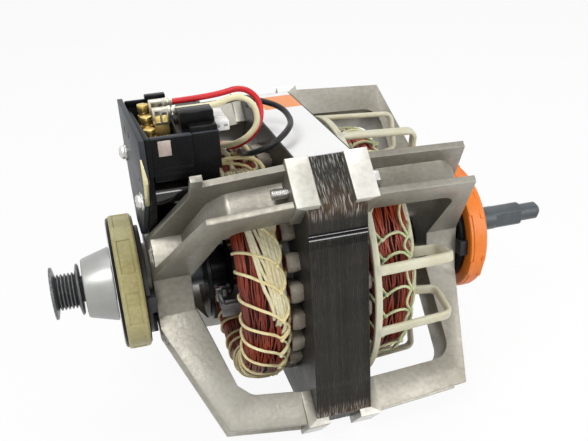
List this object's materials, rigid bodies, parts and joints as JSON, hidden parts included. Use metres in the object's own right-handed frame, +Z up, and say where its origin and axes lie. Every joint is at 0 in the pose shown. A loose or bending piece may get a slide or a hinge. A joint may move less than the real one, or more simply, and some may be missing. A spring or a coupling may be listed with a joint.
{
  "type": "dryer motor with pulley",
  "caption": "Open-frame dryer motor: square laminated stator between four-arm cast shields, ribbed belt pulley, rubber mounting rings, governor and start switch.",
  "frame": {"origin": "on the shaft axis at the middle of the front mounting ring's width", "axes": "+X along the shaft from the pulley towards the threaded end, +Z up with the start switch on top, -Y the side with the governor window in view"},
  "size_m": [0.2646, 0.1446, 0.1654],
  "materials": {
    "stack_steel": "blue-black sheet steel, edges of the laminations showing",
    "slot_paper": "grey-white insulating paper",
    "enamel_copper": "red-brown enamelled copper",
    "nylon": "off-white moulded nylon",
    "cast_aluminium": "bright satin die casting",
    "cream_rubber": "pale yellow rubber",
    "orange_rubber": "orange rubber",
    "bright_steel": "bright pressed steel",
    "dark_steel": "dark phosphated steel",
    "shaft_steel": "dark ground steel",
    "pulley_steel": "dark turned steel",
    "bearing_bronze": "sintered bronze",
    "rotor_steel": "steel laminations with cast aluminium end rings",
    "governor_steel": "plain pressed steel",
    "weight_steel": "plain steel",
    "black_plastic": "black moulded plastic",
    "grey_plastic": "grey moulded plastic",
    "dark_plate": "dark grey moulded plastic",
    "brass_strap": "pale brass",
    "terminal_brass": "brass",
    "tinned_brass": "tinned",
    "white_plastic": "white moulded plastic",
    "bolt_steel": "zinc plated steel",
    "label_paper": "white paper with an orange band",
    "red_pvc": "red-brown insulation",
    "cream_pvc": "cream insulation",
    "black_pvc": "black insulation"
  },
  "bodies": {
    "stator": {"stator_core": "stack_steel", "slot_liners": "slot_paper", "coil_sides": "enamel_copper", "front_winding_core": "enamel_copper", "front_winding": "enamel_copper", "rear_winding_core": "enamel_copper", "rear_winding": "enamel_copper", "winding_guard": "nylon", "front_shield": "cast_aluminium", "rear_shield": "cast_aluminium", "front_ring": "cream_rubber", "rear_ring": "orange_rubber", "front_ring_cup": "bright_steel", "ring_retainers": "dark_steel", "bearings": "bearing_bronze", "switch_housing": "black_plastic", "switch_plate": "dark_plate", "switch_strap": "brass_strap", "switch_terminals": "terminal_brass", "crimp_terminals": "tinned_brass", "connector_block": "white_plastic", "through_bolts": "bolt_steel", "label": "label_paper", "red_lead": "red_pvc", "white_lead": "cream_pvc", "black_lead": "black_pvc"},
    "rotor": {"shaft": "shaft_steel", "pulley": "pulley_steel", "rotor_core": "rotor_steel", "governor_base": "governor_steel"},
    "collar": {"governor_collar": "black_plastic"},
    "weight_upper": {"flyweight_upper": "weight_steel"},
    "weight_lower": {"flyweight_lower": "weight_steel"},
    "lever": {"start_lever": "grey_plastic"}
  },
  "joints": [
    {"name": "rotor_spin", "type": "hinge", "parent": "stator", "child": "rotor", "pos_m": [0, 0, 0], "axis": [1, 0, 0], "continuous": true},
    {"name": "collar_slide", "type": "slide", "parent": "rotor", "child": "collar", "axis": [1, 0, 0], "range_m": [0, 0.004], "stiffness_N_per_m": 400, "springref_m": -0.002},
    {"name": "weight_upper_swing", "type": "hinge", "parent": "rotor", "child": "weight_upper", "pos_m": [0.0465, 0, 0.022], "axis": [0, -1, 0], "range_deg": [0, 26.5]},
    {"name": "weight_lower_swing", "type": "hinge", "parent": "rotor", "child": "weight_lower", "pos_m": [0.0465, 0, -0.022], "axis": [0, 1, 0], "range_deg": [0, 26.5]},
    {"name": "lever_rock", "type": "hinge", "parent": "stator", "child": "lever", "pos_m": [0.0314, 0, 0.038], "axis": [0, -1, 0], "range_deg": [0, 14.4]}
  ],
  "couplings": [
    {"joint": "weight_upper_swing", "follows": "collar_slide", "rad_per_m": 115},
    {"joint": "weight_lower_swing", "follows": "collar_slide", "rad_per_m": 115},
    {"joint": "lever_rock", "follows": "collar_slide", "rad_per_m": 62.5}
  ]
}
